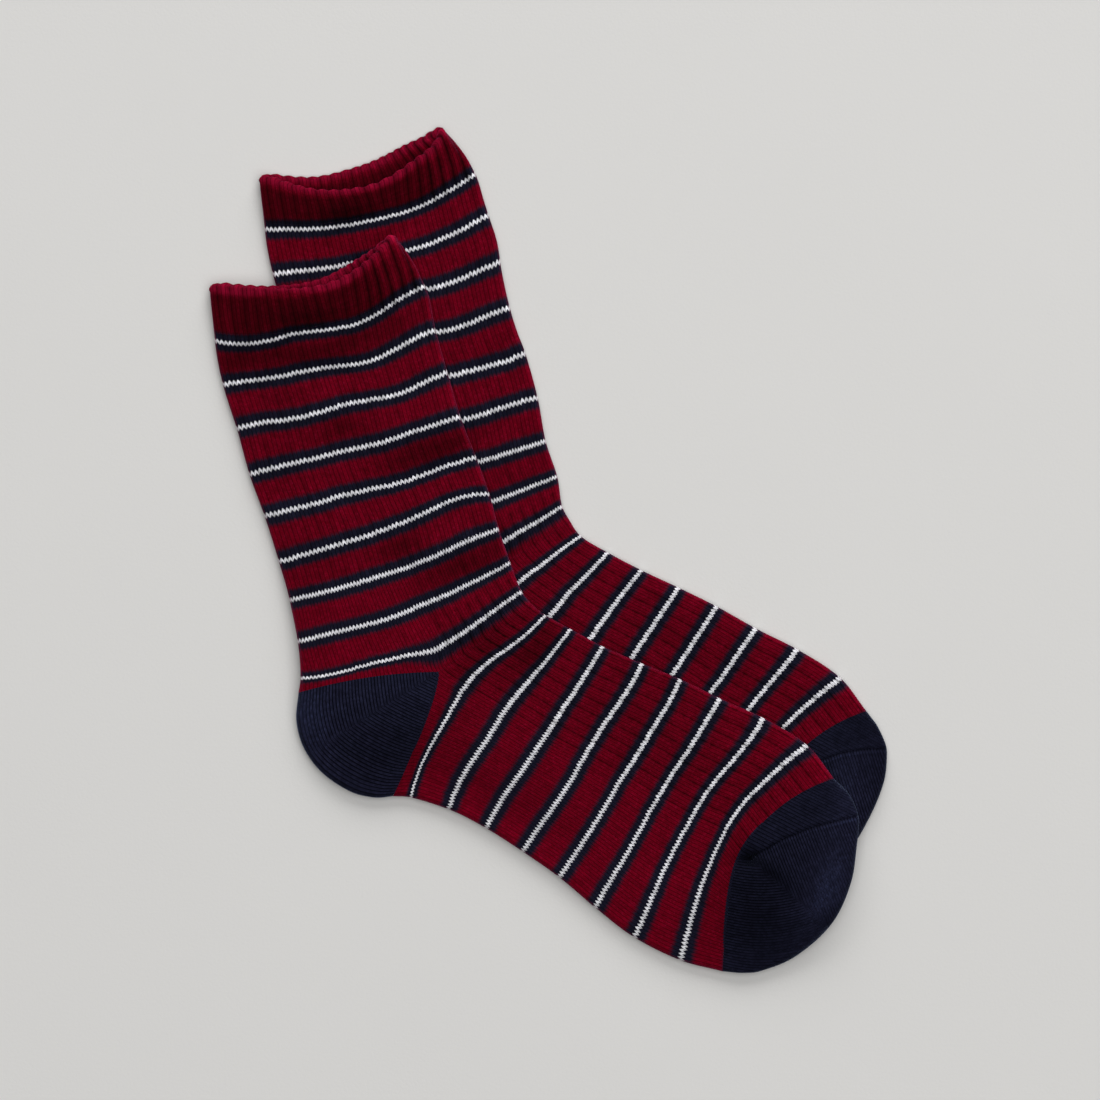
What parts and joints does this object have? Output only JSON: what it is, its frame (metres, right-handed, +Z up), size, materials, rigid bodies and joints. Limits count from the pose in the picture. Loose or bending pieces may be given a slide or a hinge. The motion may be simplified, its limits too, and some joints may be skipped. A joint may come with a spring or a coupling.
{
  "type": "pair of crew socks",
  "caption": "Pair of ribbed crew socks with contrast heel and toe and narrow cross stripes, laid flat on their sides, one partly over the other.",
  "frame": {"origin": "middle of the pair's underside, on the surface that the socks lie on", "axes": "+Y towards the cuffs, +X towards the toes, +Z up off the surface"},
  "size_m": [0.2558, 0.3212, 0.0134],
  "materials": {
    "burgundy_knit": "matte 3x1 rib knit, burgundy with navy-white-navy stripes",
    "navy_knit": "matte plain knit, navy"
  },
  "bodies": {
    "root": {"top_sock_cuff": "burgundy_knit", "top_sock_body": "burgundy_knit", "top_sock_heel": "navy_knit", "top_sock_toe": "navy_knit", "under_sock_cuff": "burgundy_knit", "under_sock_body": "burgundy_knit", "under_sock_heel": "navy_knit", "under_sock_toe": "navy_knit"}
  },
  "joints": []
}
